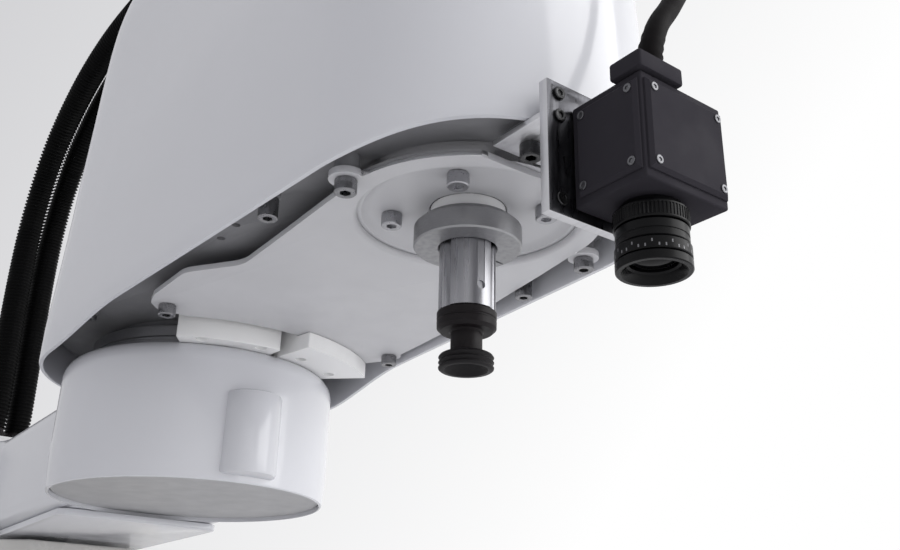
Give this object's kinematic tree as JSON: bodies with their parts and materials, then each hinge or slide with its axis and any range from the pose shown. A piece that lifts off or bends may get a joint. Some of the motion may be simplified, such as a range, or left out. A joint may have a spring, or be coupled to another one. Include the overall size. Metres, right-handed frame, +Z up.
{
  "type": "scara robot arm",
  "caption": "SCARA robot arm with pedestal base, two swinging arms, spline tool shaft with suction cup, vision camera on a bracket and corrugated conduits.",
  "frame": {"origin": "on the J1 axis, on the base's mounting face", "axes": "+X along both arms at rest, towards the tool; +Z up, along all the joint axes"},
  "size_m": [0.8641, 0.2008, 0.7333],
  "materials": {
    "arm_paint": "glossy white enamel with a faint blue cast",
    "base_paint": "satin cream enamel",
    "plate_paint": "satin light grey paint",
    "bare_aluminium": "satin machined",
    "cast_metal": "as cast",
    "polished_steel": "ground and polished",
    "grey_steel": "matte grey",
    "screw_steel": "matte",
    "motor_paint": "satin black",
    "camera_paint": "satin charcoal anodised",
    "black_plastic": "matte black",
    "white_plastic": "white",
    "conduit_plastic": "black corrugated",
    "cable_jacket": "soft black",
    "cup_rubber": "matte black",
    "belt_rubber": "black toothed belt",
    "lens_glass": "coated lens"
  },
  "bodies": {
    "base": {"base_housing": "base_paint", "base_rear_panel": "bare_aluminium", "power_connector": "black_plastic", "signal_connector": "black_plastic", "air_manifold": "bare_aluminium", "j1_motor": "motor_paint", "j1_reducer": "polished_steel"},
    "inner_arm": {"j1_output_hub": "polished_steel", "inner_arm_casting": "arm_paint", "inner_arm_cover": "arm_paint", "elbow_cover": "plate_paint", "j2_reducer": "grey_steel", "cable_bonnet": "white_plastic", "lower_gland_outer": "black_plastic", "lower_gland_inner": "black_plastic", "conduit_outer": "conduit_plastic", "conduit_inner": "conduit_plastic"},
    "outer_arm": {"outer_arm_frame": "cast_metal", "bottom_plate": "plate_paint", "stopper_block_right": "plate_paint", "stopper_block_left": "plate_paint", "spline_housing": "plate_paint", "shaft_seal_ring": "white_plastic", "flange_screw_1": "screw_steel", "flange_screw_2": "screw_steel", "flange_screw_3": "screw_steel", "flange_screw_4": "screw_steel", "plate_screw_near": "screw_steel", "plate_screw_nose": "screw_steel", "plate_screw_far": "screw_steel", "plate_screw_elbow": "screw_steel", "outer_arm_cover": "arm_paint", "upper_gland_outer": "black_plastic", "upper_gland_inner": "black_plastic", "j2_motor": "motor_paint", "drive_plate": "bare_aluminium", "theta_motor": "motor_paint", "theta_belt": "belt_rubber", "z_motor": "motor_paint", "z_belt": "belt_rubber", "screw_bearing": "polished_steel", "bracket_base_plate": "bare_aluminium", "bracket_face_plate": "bare_aluminium", "camera_body": "camera_paint", "camera_connector": "camera_paint", "lens_barrel": "camera_paint", "lens_glass": "lens_glass", "cable_gland": "black_plastic", "camera_cable": "cable_jacket"},
    "spline_drive": {"spline_nut": "polished_steel", "theta_pulley": "bare_aluminium"},
    "tool": {"spline_shaft": "polished_steel", "shaft_collar": "grey_steel", "suction_holder": "black_plastic", "suction_cup": "cup_rubber"},
    "screw_drive": {"screw_nut": "polished_steel"},
    "theta_motor_drive": {"theta_motor_pulley": "bare_aluminium"},
    "z_motor_drive": {"z_motor_pulley": "bare_aluminium"},
    "focus_ring": {"lens_focus_ring": "camera_paint"},
    "iris_ring": {"lens_iris_ring": "camera_paint"}
  },
  "joints": [
    {"name": "j1_shoulder", "type": "hinge", "parent": "base", "child": "inner_arm", "pos_m": [0, 0, 0.264], "axis": [0, 0, 1], "range_deg": [-132, 132]},
    {"name": "j2_elbow", "type": "hinge", "parent": "inner_arm", "child": "outer_arm", "pos_m": [0.315, 0, 0.343], "axis": [0, 0, 1], "range_deg": [-145, 145], "deforming": ["conduit_outer", "conduit_inner"]},
    {"name": "j4_tool_rotation", "type": "hinge", "parent": "outer_arm", "child": "spline_drive", "pos_m": [0.6, 0, 0.38], "axis": [0, 0, 1], "range_deg": [-360, 360]},
    {"name": "j3_stroke", "type": "slide", "parent": "spline_drive", "child": "tool", "axis": [0, 0, -1], "range_m": [0, 0.18]},
    {"name": "screw_nut_spin", "type": "hinge", "parent": "outer_arm", "child": "screw_drive", "pos_m": [0.6, 0, 0.43], "axis": [0, 0, 1], "range_deg": [-5, 3245]},
    {"name": "theta_motor_spin", "type": "hinge", "parent": "outer_arm", "child": "theta_motor_drive", "pos_m": [0.435, 0.036, 0.4], "axis": [0, 0, 1], "range_deg": [-725, 725]},
    {"name": "z_motor_spin", "type": "hinge", "parent": "outer_arm", "child": "z_motor_drive", "pos_m": [0.435, -0.036, 0.42], "axis": [0, 0, 1], "range_deg": [-5, 6485]},
    {"name": "lens_focus", "type": "hinge", "parent": "outer_arm", "child": "focus_ring", "pos_m": [0.7065, -0.001, 0.312], "axis": [0, 0, 1], "range_deg": [0, 120]},
    {"name": "lens_iris", "type": "hinge", "parent": "outer_arm", "child": "iris_ring", "pos_m": [0.7065, -0.001, 0.299], "axis": [0, 0, 1], "range_deg": [0, 75]}
  ],
  "couplings": [
    {"joint": "screw_nut_spin", "follows": "j3_stroke", "rad_per_m": 314.16},
    {"joint": "z_motor_spin", "follows": "j3_stroke", "rad_per_m": 628.32},
    {"joint": "theta_motor_spin", "follows": "j4_tool_rotation", "ratio": 2}
  ]
}
